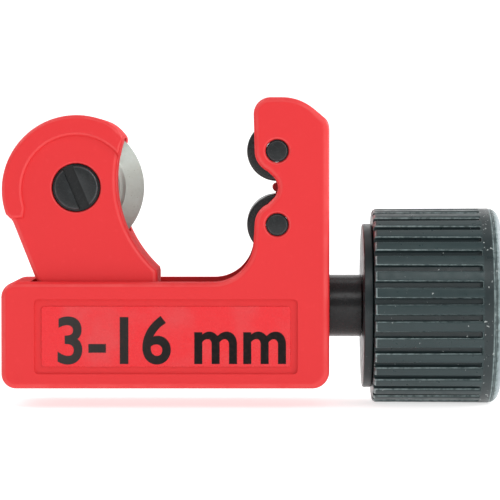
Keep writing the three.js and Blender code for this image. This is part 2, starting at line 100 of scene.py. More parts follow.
CHANNEL_HALF = 8.6
CHANNEL_TOP = 14.5
CHANNEL_LEFT = LEFT + 3.8
CHANNEL_RIGHT = RIGHT - 6.4
FLOOR = 2.5
ARM_LEFT = RIGHT - 10.3
CHEEK_HALF = 8.4
HEAD = (-12.15, 27.0, 10.2)  # X, Z and radius
THROAT = (10.1, 28.4, 16.75)  # X, Z and radius
POCKET_R = 9.35
AXLE_R = 2.5
AXLE_THREAD_R = 2.0
THREAD_R = 3.0
PILOT_R = 2.35  # plain end of the feed screw
PILOT_DEPTH = 2
JOURNAL_R = 3.1  # plain stretch of the feed screw in the frame
SPIGOT_R = 2.6  # end of the feed screw in the knob
RUNNING = 0.1  # gap round pieces that turn
SEATED = 0.03  # gap round pieces that are pressed or screwed together
KNOB_R = 13.5
RIBS_END = 43.1
CAP_SEAM = 44.75
CAP_R = 13.4


# ---- Outlines ----


def arc(x, z, r, start, end, steps=16):
    """Points along an arc, from one angle to another in degrees."""
    points = []
    for i in range(steps + 1):
        a = math.radians(start + (end - start) * i / steps)
        points.append((x + r * math.cos(a), z + r * math.sin(a)))
    return points


def curve(start, bend, end, steps):
    """Points along a quadratic curve."""
    points = []
    for i in range(steps + 1):
        t = i / steps
        shares = ((1 - t) ** 2, 2 * t * (1 - t), t * t)
        points.append(tuple(sum(s * p[k] for s, p in zip(shares, (start, bend, end))) for k in (0, 1)))
    return points


def rounded(corners, steps=5):
    """A closed outline of (u, v, radius) corners. A corner that has no room for its radius gets less."""
    points = []
    count = len(corners)
    for i, (u, v, r) in enumerate(corners):
        if r <= 0:
            points.append((u, v))
            continue
        here = Vector((u, v))
        back = Vector(corners[i - 1][:2]) - here
        ahead = Vector(corners[(i + 1) % count][:2]) - here
        half = back.angle(ahead) / 2
        reach = min(r / math.tan(half), back.length * 0.49, ahead.length * 0.49)
        start = here + back.normalized() * reach
        end = here + ahead.normalized() * reach
        for k in range(steps + 1):
            t = k / steps
            point = start.lerp(here, t).lerp(here.lerp(end, t), t)
            points.append((point.x, point.y))
    return points


# ---- Solids ----


def new_object(name, mesh):
    piece = bpy.data.objects.new(name, mesh)
    bpy.context.collection.objects.link(piece)
    return piece


def mesh_object(name, points, faces):
    """An object from points in millimetres, with its faces turned outwards."""
    mesh = bpy.data.meshes.new(name)
    mesh.from_pydata([tuple(v * MM for v in p) for p in points], [], faces)
    work = bmesh.new()
    work.from_mesh(mesh)
    bmesh.ops.remove_doubles(work, verts=work.verts, dist=0.5e-6)
    bmesh.ops.recalc_face_normals(work, faces=work.faces)
    work.to_mesh(mesh)
    work.free()
    return new_object(name, mesh)


def prism(name, outline, low, high, axis="Y"):
    """An outline extruded along Y (outline in X and Z) or along X (outline in Y and Z)."""
    count = len(outline)
    points = []
    for level in (low, high):
        for u, v in outline:
            points.append((u, level, v) if axis == "Y" else (level, u, v))
    faces = [tuple(range(count)), tuple(range(2 * count - 1, count - 1, -1))]
    for i in range(count):
        j = (i + 1) % count
        faces.append((i, i + count, j + count, j))
    return mesh_object(name, points, faces)


def casting(name, outline, inset, low, high, depth=0.85):
    """An outline in X and Z made solid from front to back, with both faces rounded off at the edge.

    inset(x, z) is the width of the rounding, and depth is how deep it goes."""
    rings = 6
    count = len(outline)
    sides = []
    for i, corner in enumerate(outline):
        along = Vector(outline[(i + 1) % count]) - Vector(corner)
        sides.append(Vector((along.y, -along.x)).normalized())
    steps_in = []
    for i, (x, z) in enumerate(outline):
        normal = (sides[i - 1] + sides[i]).normalized()
        steps_in.append(normal * inset(x, z) / max(normal.dot(sides[i]), 0.4))
    levels = []
    for k in range(rings + 1):
        turn = math.radians(90 * k / rings)
        levels.append((1 - math.sin(turn), depth * (1 - math.cos(turn))))
    rows = [(share, low + deep) for share, deep in levels]
    rows += [(share, high - deep) for share, deep in reversed(levels)]
    points = []
    for share, y in rows:
        for (x, z), step in zip(outline, steps_in):
            points.append((x - step.x * share, y, z - step.y * share))
    last = (len(rows) - 1) * count
    faces = [tuple(range(count)), tuple(range(last + count - 1, last - 1, -1))]
    for row in range(len(rows) - 1):
        for i in range(count):
            a, b = row * count + i, row * count + (i + 1) % count
            faces.append((a, b, b + count, a + count))
    return mesh_object(name, points, faces)


def block(name, low, high):
    """A box between two corners."""
    outline = [(low[0], low[2]), (high[0], low[2]), (high[0], high[2]), (low[0], high[2])]
    return prism(name, outline, low[1], high[1])


def lathe(name, profile, centre, axis="Y", segments=96):
    """A profile of (radius, position) points turned about an axis along Y or X through the centre."""
    points = []
    rows = []
    for r, along in profile:
        row = []
        for i in range(segments if r > 1e-6 else 1):
            a = 2 * math.pi * i / segments
            c, s = r * math.cos(a), r * math.sin(a)
            row.append(len(points))
            if axis == "Y":
                points.append((centre[0] + c, along, centre[1] + s))
            else:
                points.append((along, centre[0] + c, centre[1] + s))
        rows.append(row)
    faces = []
    for a, b in zip(rows, rows[1:]):
        for i in range(segments):
            j = (i + 1) % segments
            corners = [a[i % len(a)], a[j % len(a)], b[j % len(b)], b[i % len(b)]]
            distinct = tuple(dict.fromkeys(corners))
            if len(distinct) > 2:
                faces.append(distinct)
    return mesh_object(name, points, faces)


def mirrored(side):
    """A half profile of (radius, Y, rounding) corners, and its mirror image behind it."""
    return side + [(r, -y, edge) for r, y, edge in reversed(side)]


def bore(name, r, low, high):
    """A plain cylinder on the feed screw's axis, to cut a hole with."""
    return lathe(name, [(0, low), (r, low), (r, high), (0, high)], SCREW_AXIS, "X")


def ring(name, inner, outer, low, high, centre, axis, edge):
    """A flat ring with rounded edges."""
    corners = [(inner, low, edge), (outer, low, edge), (outer, high, edge), (inner, high, edge)]
    profile = rounded(corners, 3)
    return lathe(name, profile + profile[:1], centre, axis)


def bake(piece):
    """Turns the piece's modifiers into its mesh."""
    bpy.context.view_layer.update()
    ready = piece.evaluated_get(bpy.context.evaluated_depsgraph_get())
    mesh = bpy.data.meshes.new_from_object(ready)
    piece.modifiers.clear()
    piece.data = mesh


def bevel(piece, width, segments, angle):
    """Rounds the edges that are sharper than the angle."""
    step = piece.modifiers.new("bevel", "BEVEL")
    step.width = width * MM
    step.segments = segments
    step.limit_method = "ANGLE"
    step.angle_limit = math.radians(angle)
    step.miter_outer = "MITER_ARC"
    bake(piece)


def combine(piece, others, operation):
    """Joins other solids to the piece, or cuts them from it."""
    for other in others:
        step = piece.modifiers.new("combine", "BOOLEAN")
        step.operation = operation
        step.solver = "EXACT"
        step.object = other
        bake(piece)
        bpy.data.objects.remove(other)


def smooth(piece):
    """Smooth shading, with creases at the sharp edges."""
    piece.data.shade_smooth()
    piece.data.set_sharp_from_angle(angle=math.radians(32))
    step = piece.modifiers.new("normals", "WEIGHTED_NORMAL")
    step.keep_sharp = True
    step.weight = 80


def finish_piece(piece, node, body, material):
    """Shades the piece, gives it its material, hides its CAD node and attaches it to its body."""
    smooth(piece)
    piece.data.materials.clear()
    piece.data.materials.append(material)
    if node:
        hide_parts(node)
    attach(piece, body)


# ---- Materials ----


class Shader:
    """A Principled material with helpers for the nodes that vary it."""

    def __init__(self, name, color, roughness, metallic=0.0, specular=0.5):
        self.material = bpy.data.materials.new(name)
        self.material.use_nodes = True
        self.nodes = self.material.node_tree.nodes
        self.links = self.material.node_tree.links
        self.main = self.nodes["Principled BSDF"]
        self.set("Base Color", (*color, 1))
        self.set("Roughness", roughness)
        self.set("Metallic", metallic)
        self.set("Specular IOR Level", specular)
        self.color = (*color, 1)
        coordinates = self.nodes.new("ShaderNodeTexCoord").outputs
        self.place = coordinates["Object"]
        self.normal = coordinates["Normal"]
        self.height = None

    def set(self, socket, value):
        self.main.inputs[socket].default_value = value

    def noise(self, scale, detail, roughness=0.55, stretch=None):
        """Noise in object space. Scale is in cells per metre."""
        node = self.nodes.new("ShaderNodeTexNoise")
        node.inputs["Scale"].default_value = scale
        node.inputs["Detail"].default_value = detail
        node.inputs["Roughness"].default_value = roughness
        place = self.place
        if stretch:
            mapping = self.nodes.new("ShaderNodeMapping")
            mapping.inputs["Scale"].default_value = stretch
            self.links.new(place, mapping.inputs["Vector"])
            place = mapping.outputs["Vector"]
        self.links.new(place, node.inputs["Vector"])
        return node.outputs["Fac"]

    def math(self, operation, a, b):
        """A sum, product, minimum or other operation of two values, either of which may be a number."""
        node = self.nodes.new("ShaderNodeMath")
        node.operation = operation
        for socket, value in zip(node.inputs, (a, b)):
            if isinstance(value, (int, float)):
                socket.default_value = value
            else:
                self.links.new(value, socket)
        return node.outputs["Value"]

    def split(self, vector):
        """The X, Y and Z of a vector."""
        node = self.nodes.new("ShaderNodeSeparateXYZ")
        self.links.new(vector, node.inputs["Vector"])
        return node.outputs

    def along_x(self):
        """Position along X, in millimetres."""
        return self.math("MULTIPLY", self.split(self.place)["X"], 1 / MM)

    def facing_y(self):
        """1 where the surface looks along Y, and 0 where it looks across it."""
        return self.math("ABSOLUTE", self.split(self.normal)["Y"], 0)

    def radius(self):
        """Distance from the feed screw's axis, in millimetres."""
        place = self.split(self.place)
        y = self.math("MULTIPLY", place["Y"], 1 / MM)
        z = self.math("SUBTRACT", self.math("MULTIPLY", place["Z"], 1 / MM), SCREW_Z)
        squares = self.math("ADD", self.math("MULTIPLY", y, y), self.math("MULTIPLY", z, z))
        return self.math("SQRT", squares, 0)

    def band(self, value, low, high, soft):
        """1 between low and high, and 0 outside them, over a soft border."""
        rise = self.ramp(value, low - soft, low)
        fall = self.ramp(value, high, high + soft, 1, 0)
        return self.math("MULTIPLY", rise, fall)

    def ramp(self, value, low, high, start=0.0, end=1.0):
        """Maps a value from low..high to start..end, and holds it within them."""
        node = self.nodes.new("ShaderNodeMapRange")
        node.inputs["From Min"].default_value = low
        node.inputs["From Max"].default_value = high
        node.inputs["To Min"].default_value = start
        node.inputs["To Max"].default_value = end
        self.links.new(value, node.inputs["Value"])
        return node.outputs["Result"]

    def tint(self, amount, color):
        """Mixes another colour into the base colour."""
        node = self.nodes.new("ShaderNodeMix")
        node.data_type = "RGBA"
        before = self.main.inputs["Base Color"].links
        if before:
            self.links.new(before[0].from_socket, node.inputs["A"])
        else:
            node.inputs["A"].default_value = self.color
        node.inputs["B"].default_value = (*color, 1)
        self.links.new(amount, node.inputs["Factor"])
        self.links.new(node.outputs["Result"], self.main.inputs["Base Color"])

    def patches(self, scale, detail, low, high, most, color):
        """Tints the patches where noise rises from low to high, by at most a share."""
        self.tint(self.ramp(self.noise(scale, detail), low, high, 0, most), color)

    def roughen(self, value):
        """Takes the roughness from another value."""
        self.links.new(value, self.main.inputs["Roughness"])

    def wander(self, scale, detail, low, high):
        """A value that wanders between low and high with noise."""
        return self.ramp(self.noise(scale, detail), 0.3, 0.7, low, high)

    def bump(self, value, distance, strength):
        """Raises the surface by a height of so many millimetres."""
        node = self.nodes.new("ShaderNodeBump")
        node.inputs["Distance"].default_value = distance * MM
        node.inputs["Strength"].default_value = strength
        self.links.new(value, node.inputs["Height"])
        if self.height:
            self.links.new(self.height, node.inputs["Normal"])
        self.height = node.outputs["Normal"]
        self.links.new(self.height, self.main.inputs["Normal"])


def red_paint():
    """Paint with a painted highlight, a paler tint over rounded edges, and duller on the castings'
    sides.
    """
    shader = Shader("red_paint", (0.745, 0.030, 0.034), 0.42, specular=0.3)
    shader.patches(90, 3, 0.3, 0.75, 0.5, (0.715, 0.028, 0.031))
    shader.patches(1400, 3, 0.6, 0.8, 0.25, (0.82, 0.054, 0.060))
    facing = shader.facing_y()
    # Painted highlight: rounded edges that look partly along Y are tinted paler.
    painted_edge_highlight = shader.math("MULTIPLY", shader.band(facing, 0.7, 0.94, 0.05), shader.wander(300, 3, 0.1, 0.4))
    shader.tint(painted_edge_highlight, (0.84, 0.12, 0.115))
    sides = shader.ramp(facing, 0.1, 0.4, 0.5, 0)
    shader.roughen(shader.math("ADD", shader.wander(700, 4, 0.34, 0.46), sides))
    shader.bump(shader.noise(1500, 2), 0.006, 0.5)
    shader.bump(shader.noise(240, 2), 0.02, 0.4)
    return shader.material


def knob_plastic():
    """Moulded plastic with painted shade in the grooves, painted highlights along the ribs' edges, the
    cap's seam and rim, and a few pale chips.
    """
    shader = Shader("knob_plastic", (0.019, 0.036, 0.038), 0.34, specular=0.42)
    radius = shader.radius()
    place = shader.along_x()
    shader.patches(260, 4, 0.35, 0.7, 0.4, (0.026, 0.047, 0.050))
    flow = shader.noise(600, 3, 0.6, (0.08, 1, 1))
    shader.tint(shader.ramp(flow, 0.5, 0.75, 0, 0.6), (0.034, 0.058, 0.060))
    # Painted shade: the grooves are tinted darker the deeper they go.
    shader.tint(shader.ramp(radius, KNOB_R - 0.14, KNOB_R - 0.45, 0, 0.8), (0.010, 0.018, 0.020))

    uneven = shader.ramp(shader.noise(1500, 4), 0.35, 0.6, 0.25, 1)
    # Painted highlight: a pale tint along the ribs' edges, broken up by noise.
    painted_rib_edge_highlight = shader.band(radius, KNOB_R - 0.30, KNOB_R - 0.16, 0.04)
    shader.tint(shader.math("MULTIPLY", painted_rib_edge_highlight, uneven), (0.25, 0.32, 0.32))
    # Painted highlight: a pale line along the cap's seam.
    painted_seam_highlight = shader.math("MULTIPLY", shader.band(place, CAP_SEAM - 0.25, CAP_SEAM + 0.05, 0.08), uneven)
    shader.tint(shader.math("MULTIPLY", painted_seam_highlight, 0.9), (0.22, 0.28, 0.28))

    plain_band = shader.band(place, RIBS_END + 0.2, RIBS_END + 1.2, 0.2)
    shader.tint(shader.math("MULTIPLY", plain_band, 0.6), (0.010, 0.016, 0.018))
    # Painted highlight: a pale tint over the cap's rounded rim.
    beyond_seam = shader.ramp(place, CAP_SEAM + 0.35, CAP_SEAM + 0.65)
    rim = shader.math("MULTIPLY", beyond_seam, shader.ramp(radius, KNOB_R - 1.8, KNOB_R - 1.3))
    shader.tint(shader.math("MULTIPLY", rim, 0.85), (0.30, 0.37, 0.385))

    left_end = shader.band(place, SLEEVE_LEFT - 0.1, SLEEVE_LEFT + 0.35, 0.1)
    right_end = shader.band(place, RIBS_END + 0.2, CAP_SEAM + 0.1, 0.3)
    ends = shader.math("ADD", left_end, right_end)
    chips = shader.math("ADD", shader.noise(2000, 3, 0.5), shader.math("MULTIPLY", ends, 0.06))
    shader.tint(shader.ramp(chips, 0.725, 0.75, 0, 0.85), (0.42, 0.46, 0.45))
    shader.roughen(shader.wander(900, 4, 0.26, 0.44))
    shader.bump(shader.noise(2500, 3), 0.012, 0.5)
    return shader.material


def black_steel(name, painted_edge_glints=False):
    """Blackened steel, with an optional painted highlight: a paler tint on edges that look partly along
    Y.
    """
    shader = Shader(name, (0.012, 0.014, 0.015), 0.26, specular=0.38)
    shader.patches(1200, 4, 0.45, 0.75, 0.5, (0.028, 0.032, 0.033))
    if painted_edge_glints:
        # Painted highlight: glints on chamfers and rims are tinted paler.
        glint_mask = shader.band(shader.facing_y(), 0.35, 0.9, 0.1)
        shader.tint(shader.math("MULTIPLY", glint_mask, shader.wander(900, 3, 0.3, 1)), (0.07, 0.08, 0.085))
    shader.roughen(shader.wander(2000, 3, 0.18, 0.32))
    shader.bump(shader.noise(4000, 3), 0.006, 0.4)
    return shader.material


def wheel_steel():
    """Ground steel with a few darker specks."""
    shader = Shader("wheel_steel", (0.40, 0.44, 0.41), 0.44, 0.7)
    shader.patches(400, 5, 0.35, 0.75, 0.6, (0.33, 0.35, 0.31))
    shader.patches(4500, 2, 0.66, 0.74, 0.5, (0.16, 0.14, 0.10))
    shader.roughen(shader.wander(2500, 4, 0.34, 0.54))
    shader.bump(shader.noise(6000, 3), 0.01, 0.6)
    return shader.material


def plain_steel():
    shader = Shader("plain_steel", (0.60, 0.61, 0.63), 0.28, 1.0)
    shader.patches(900, 4, 0.4, 0.75, 0.4, (0.42, 0.42, 0.42))
    shader.roughen(shader.wander(3000, 3, 0.22, 0.4))
    shader.bump(shader.noise(5000, 2), 0.006, 0.5)
    return shader.material


def label_film():
    """Clear red film with fine scuffs and a faint haze."""
    shader = Shader("label_film", (0.78, 0.020, 0.027), 0.3, specular=0.4)
    shader.patches(350, 4, 0.5, 0.8, 0.3, (0.72, 0.035, 0.042))
    shader.patches(3000, 2, 0.74, 0.82, 0.2, (0.62, 0.06, 0.065))
    shader.patches(160, 4, 0.48, 0.7, 0.55, (0.68, 0.065, 0.070))
    shader.roughen(shader.wander(1200, 3, 0.2, 0.34))
    shader.bump(shader.noise(500, 3), 0.012, 0.4)
    return shader.material


def black_print():
    """Ink that is more worn, and greyer, towards the left."""
    shader = Shader("black_print", (0.006, 0.005, 0.005), 0.6, specular=0.1)
    shader.tint(shader.ramp(shader.along_x(), -16, 4, 0.9, 0.1), (0.045, 0.042, 0.040))
    shader.patches(2200, 4, 0.5, 0.8, 0.3, (0.07, 0.03, 0.03))
    shader.roughen(shader.wander(1500, 3, 0.5, 0.7))
    return shader.material


RED = red_paint()
KNOB = knob_plastic()
BLACK = black_steel("black_steel")
# Blackened steel with painted highlights on its edges, for the axle screw and the pins.
GLINT_STEEL = black_steel("glint_steel", painted_edge_glints=True)
WHEEL = wheel_steel()
PLAIN = plain_steel()
FILM = label_film()
PRINT = black_print()


# ---- Frame casting ----

LOBE_R = 3.05  # round of each cheek about a roller pin
NOTCH_X = 13.2  # hollow in the cheeks between the rollers
NOTCH_R = 2.1
ARM_FILLET = 5.5
CORNER_R = 2.3
TOP_LEFT_R = 2.1
BOTTOM_LEFT_R = 2.0
FACE_ROUND = 0.85
ARM_BACK = 2.2  # wall behind and above the rollers
BEARING_TOP = 16.8  # top of the thick wall that the feed screw turns in
PANEL = {"left": -17.8, "right": 18.0, "bottom": 2.0, "top": 12.2, "depth": 0.45}


def frame_outline():
    """The side view of the frame, anticlockwise from its lower right corner."""
    points = arc(RIGHT - CORNER_R, CORNER_R, CORNER_R, -90, 0, 12)
    lower = (RIGHT - 0.6, ARM_TOP - 2.85)
    upper = (RIGHT - 1.9, ARM_TOP - 1.75)
    points += curve((RIGHT, ARM_TOP - 4.6), (RIGHT, ARM_TOP - 3.35), lower, 8)
    points += curve(upper, (RIGHT - 3.95, ARM_TOP), (RIGHT - 6.4, ARM_TOP), 12)
    points += arc(ARM_LEFT + CORNER_R, ARM_TOP - CORNER_R, CORNER_R, 90, 180, 12)
    points += arc(ROLLER_X, ROLLER_ZS["upper"], LOBE_R, 182, 245)
    points += arc(NOTCH_X, JAW_Z, NOTCH_R, 45, -45)
    points += arc(ROLLER_X, ROLLER_ZS["lower"], LOBE_R, 115, 178)
    points += arc(ARM_LEFT - ARM_FILLET, CHANNEL_TOP + ARM_FILLET, ARM_FILLET, 0, -90, 24)
    points += arc(LEFT + TOP_LEFT_R, CHANNEL_TOP - TOP_LEFT_R, TOP_LEFT_R, 90, 180)
    points += arc(LEFT + BOTTOM_LEFT_R, BOTTOM_LEFT_R, BOTTOM_LEFT_R, 180, 270, 12)
    return points


def frame_inset(x, z):
    """Width of the rounding at the frame's faces, which grows near the right side."""
    start, length, extra = RIGHT - 2.6, 1.4, 0.33
    t = min(max((x - start) / length, 0), 1)
    return FACE_ROUND + extra * t * t * (3 - 2 * t)


def cavity():
    """The channel, and the slot in the arm that the rollers sit in."""
    top = ARM_TOP - ARM_BACK
    wall = RIGHT - ARM_BACK
    corners = [
        (CHANNEL_LEFT, FLOOR, 0.8),
        (CHANNEL_RIGHT, FLOOR, 0.8),
        (CHANNEL_RIGHT, BEARING_TOP, 0.3),
        (wall, BEARING_TOP, 0.6),
        (wall, top, 0.8),
        (0, top, 0),
        (0, JAW_Z, 0),
        (CHANNEL_LEFT, JAW_Z, 0),
    ]
    return prism("cavity", rounded(corners), -CHANNEL_HALF, CHANNEL_HALF)


def roller_rib():
    """A thin bridge between the arm's cheeks, with a round nose between the rollers."""
    half, nose_x, root_x, front = 0.6, 14.65, RIGHT - 1.5, -3
    nose = arc(nose_x + half, JAW_Z, half, 90, 270, 10)
    outline = [(root_x, JAW_Z + half)] + nose + [(root_x, JAW_Z - half)]
    return prism("rib", outline, front, CHANNEL_HALF + 0.4)


def panel_outline(margin, corner_r):
    """The outline of the recess, or one inside it by a margin."""
    left, right = PANEL["left"] + margin, PANEL["right"] - margin
    bottom, top = PANEL["bottom"] + margin, PANEL["top"] - margin
    corners = [(left, bottom), (right, bottom), (right, top), (left, top)]
    return rounded([(x, z, corner_r) for x, z in corners])


def panel_cutter(face, inward):
    """The recess in the front or the back of the base."""
    ys = sorted((face - inward * 0.4, face + inward * PANEL["depth"]))
    return prism("panel", panel_outline(0, 0.7), *ys)


def mouth(r, face, inward, edge):
    """The start of a hole's profile: a rounded mouth in a face, from outside it to the hole's wall."""
    steps = 6
    outside = r + edge + 0.6
    points = [(0, face - inward), (outside, face - inward), (outside, face - inward * 0.001)]
    for i in range(steps + 1):
        a = math.radians(90 * i / steps)
        points.append((r + edge * (1 - math.sin(a)), face + inward * edge * (1 - math.cos(a))))
    return points


def pin_seat(z):
    """A pin's hole, with a rounded mouth at each end."""
    r = PIN_R + 0.04
    edge = 0.42
    profile = mouth(r, FRONT, 1, edge) + mouth(r, BACK, -1, edge)[::-1]
    return lathe("pin_seat", profile, (ROLLER_X, z), segments=64)


def frame_piece():
    """The channel-shaped base and the roller arm, in one casting."""
    piece = casting("frame_casting_skin", frame_outline(), frame_inset, FRONT, BACK)
    combine(piece, [cavity()], "DIFFERENCE")
    combine(piece, [roller_rib()], "UNION")
    cutters = [pin_seat(z) for z in ROLLER_ZS.values()]
    cutters += [panel_cutter(FRONT, 1), panel_cutter(BACK, -1)]
    cutters.append(bore("bearing", JOURNAL_R + RUNNING, 10, 30))
    cutters.append(bore("pilot", PILOT_R + RUNNING, CHANNEL_LEFT - PILOT_DEPTH, -15))
    combine(piece, cutters, "DIFFERENCE")
    bevel(piece, 0.16, 3, 35)
    finish_piece(piece, "frame_casting", "frame", RED)


frame_piece()


# ---- Label ----

FILM_FRONT = box_mm("size_label")[0][1]
FILM_BACK = box_mm("size_label")[1][1]


def label_piece():
    """The film, 1 mm inside the panel's sides and just off its floor."""
    margin = 1
    outline = panel_outline(margin, 0.4)
    piece = prism("label_film", outline, FILM_FRONT, FILM_BACK - 0.005)
    bevel(piece, 0.06, 2, 40)
    finish_piece(piece, "size_label", "frame", FILM)


def label_text():
    """The pipe sizes that the cutter takes, printed on the film."""
    lettering = bpy.data.curves.new("pipe_sizes", "FONT")
    lettering.body = "3-16 mm"
    lettering.size = 1
    lettering.extrude = 0.5
    lettering.offset = 0.02
    lettering.space_character = 1.05
    text = new_object("pipe_sizes", lettering)
    bpy.context.view_layer.update()
    mesh = bpy.data.meshes.new_from_object(text.evaluated_get(bpy.context.evaluated_depsgraph_get()))
    bpy.data.objects.remove(text)
    spans = [[v.co[i] for v in mesh.vertices] for i in range(3)]
    lows = [min(s) for s in spans]
    sizes = [max(s) - low for s, low in zip(spans, lows)]
    left, right, bottom, top = -14.6, 16.4, 3.3, 9.9
    sunk, thick = 0.02, 0.05
    for v in mesh.vertices:
        u, w, d = [(v.co[i] - lows[i]) / sizes[i] for i in range(3)]
        x = left + (right - left) * u
        y = FILM_FRONT + sunk - thick * d
        z = bottom + (top - bottom) * w
        v.co = (x * MM, y * MM, z * MM)
    piece = new_object("label_text", mesh)
    finish_piece(piece, None, "frame", PRINT)


label_piece()
label_text()


# ---- Slide casting ----

FOOT = (-17.8, -1.1)  # left and right
TIP = (-5.665, 34.09)  # X and Z of the corner between the throat and the head
SLIVER = 0.02  # keeps two sides that would meet from lying in one plane
SEAT_DEPTH = 1.9  # counterbore for the axle screw's head


def head_curve(shrink):
    """The head's outline from the tip round to the back. It flattens near the tip."""
    start, end, steps = 51, 199, 62
    round_from = 66
    points = []
    for i in range(steps + 1):
        degrees = start + (end - start) * i / steps
        r = HEAD[2] - shrink - 0.5 * max((round_from - degrees) / 16, 0) ** 1.5
        a = math.radians(degrees)
        points.append((HEAD[0] + r * math.cos(a), HEAD[1] + r * math.sin(a)))
    return points


def slide_outline(shrink=0.0):
    """The side view of the slide. The shrink keeps the cheeks' sides just inside the rim's."""
    left, right = FOOT[0] + shrink, FOOT[1] - shrink
    foot_r = 1.3
    points = rounded([(left, SLIDE_LOW[2], foot_r), (right, SLIDE_LOW[2], foot_r), (right, 9, 0)])[:-1]
    points.append((right, CHANNEL_TOP + 1))
    points += arc(THROAT[0], THROAT[1], THROAT[2] + shrink, 227.5, 162, 44)
    head = head_curve(shrink)
    points += curve(points[-1], (TIP[0] - shrink, TIP[1] - shrink), head[0], 6)[1:-1]
    points += head
    kink = (HEAD[0] - 8.8 + shrink, HEAD[1] - 4.05)
    points += curve(points[-1], kink, (left - 2.95, 22.3), 4)[1:]
    points.append((left, CHANNEL_TOP + 0.4))
    return points


def slide_inset(width):
    """Width of the rounding at the slide's faces. It narrows towards the sharp tip of the throat."""
    return lambda x, z: min(width, 0.25 + 0.3 * math.hypot(x - TIP[0], z - TIP[1]))


def rim_outline():
    """The band that the raised rim lies in: inside it by the rim's width, and past the slide outside."""
    x, z, r = HEAD
    width = 2.8
    points = arc(x, z, r + 1.5, 15, 200, 24)
    return points + [(x - 7.25, z - 3.85)] + arc(x, z, r - width, 199, 15, 24)


def raised_rim():
    """The rim round the head, as a slice through the whole slide."""
    low, high = SLIDE_LOW[1], SLIDE_HIGH[1]
    rim = casting("rim", slide_outline(), slide_inset(0.6), low, high, 0.6)
    step = casting("step", rim_outline(), lambda x, z: 0.7, low - SLIVER, high + SLIVER, 0.5)
    combine(rim, [step], "INTERSECT")
    return rim


def wheel_pocket():
    """The slot between the two cheeks, open to the throat and to the back of the head."""
    half, far = 3, WHEEL_X - 20
    outline = arc(*AXLE, POCKET_R, -90, 90, 48)
    outline += [(far, JAW_Z + POCKET_R), (far, JAW_Z - POCKET_R)]
    return prism("pocket", outline, -half, half)


def axle_hole():
    """The hole for the axle screw, which is narrower in the rear cheek."""
    low, high = SLIDE_LOW[1] - 1, SLIDE_HIGH[1] + 1
    wide, narrow = AXLE_R + SEATED, AXLE_THREAD_R + SEATED
    profile = [(0, low), (wide, low), (wide, 0), (narrow, 0), (narrow, high), (0, high)]
    return lathe("axle_hole", profile, AXLE)


def head_seat():
    """The counterbore for the axle screw's head, with a rounded mouth."""
    r, floor = 3.32, -CHEEK_HALF + SEAT_DEPTH
    return lathe("head_seat", mouth(r, -CHEEK_HALF, 1, 0.3) + [(r, floor), (0, floor)], AXLE)


def slide_piece():
    """The foot in the channel and the round head with its two cheeks, in one casting."""
    outline = slide_outline(SLIVER)
    piece = casting("slide_casting_skin", outline, slide_inset(0.75), -CHEEK_HALF, CHEEK_HALF)
    combine(piece, [raised_rim()], "UNION")
    screw_bore = bore("screw_bore", THREAD_R + 0.3, -30, 5)
    combine(piece, [wheel_pocket(), axle_hole(), head_seat(), screw_bore], "DIFFERENCE")
    bevel(piece, 0.14, 3, 40)
    finish_piece(piece, "slide_casting", "slide", RED)


slide_piece()


# ---- Wheel, washers, axle screw ----


def wheel_piece():
    """A hub with two low steps on each side, and a long bevel down to the cutting edge."""
    low, high = box_mm("cutting_wheel")
    front = low[1]
    edge_r = (high[2] - low[2]) / 2
    side = [
        (AXLE_R + RUNNING, front, 0.1),
        (4.9, front, 0.05),
        (5.15, front + 0.22, 0.1),
        (5.75, front + 0.22, 0.1),
        (6.1, front + 0.45, 0.15),
        (6.5, front + 0.8, 0.25),
        (edge_r, -0.08, 0.02),
    ]
    profile = rounded(mirrored(side), 4)
    piece = lathe("cutting_wheel_skin", profile + profile[:1], AXLE, segments=160)
    finish_piece(piece, "cutting_wheel", "wheel", WHEEL)


def wheel_washers():
    for place in ("front", "rear"):
        node = f"wheel_washer_{place}"
        low, high = box_mm(node)
        outer = (high[2] - low[2]) / 2
        piece = ring(f"{node}_skin", AXLE_R + RUNNING, outer, low[1], high[1], AXLE, "Y", 0.08)
        finish_piece(piece, node, "slide", PLAIN)


def tilted_slot(front):
    """The screwdriver slot, which leans to the left."""
    tilt = math.radians(23)
    reach, half, depth = 4, 0.75, 0.95
    along = Vector((-math.sin(tilt), math.cos(tilt)))
    across = Vector((along.y, -along.x))
    corners = []
    for a, c in ((-reach, -half), (reach, -half), (reach, half), (-reach, half)):
        point = Vector(AXLE) + along * a + across * c
        corners.append((point.x, point.y))
    return prism("slot", corners, front - 1, front + depth)


def axle_screw():
    """A slotted head on a thin flange, a plain axle, and a thinner end for the thread."""
    low, high = box_mm("wheel_axle_screw")
    front, back = low[1], high[1]
    head_r, flange_r = 3.0, 3.22
    flange = front + 0.7
    seat = -CHEEK_HALF + SEAT_DEPTH - SEATED
    axle_end = 2.97
    corners = [
        (0, front, 0),
        (head_r, front, 0.42),
        (head_r, flange, 0.02),
        (flange_r, flange, 0.04),
        (flange_r, seat, 0.05),
        (AXLE_R, seat, 0.1),
        (AXLE_R, axle_end, 0.1),
        (AXLE_THREAD_R, axle_end, 0.05),
        (AXLE_THREAD_R, back, 0.3),
        (0, back, 0),
    ]
    piece = lathe("wheel_axle_screw_skin", rounded(corners, 6), AXLE)
    combine(piece, [tilted_slot(front)], "DIFFERENCE")
    bevel(piece, 0.07, 2, 50)
    finish_piece(piece, "wheel_axle_screw", "slide", GLINT_STEEL)


wheel_piece()
wheel_washers()
axle_screw()


# ---- Rollers and their pins ----


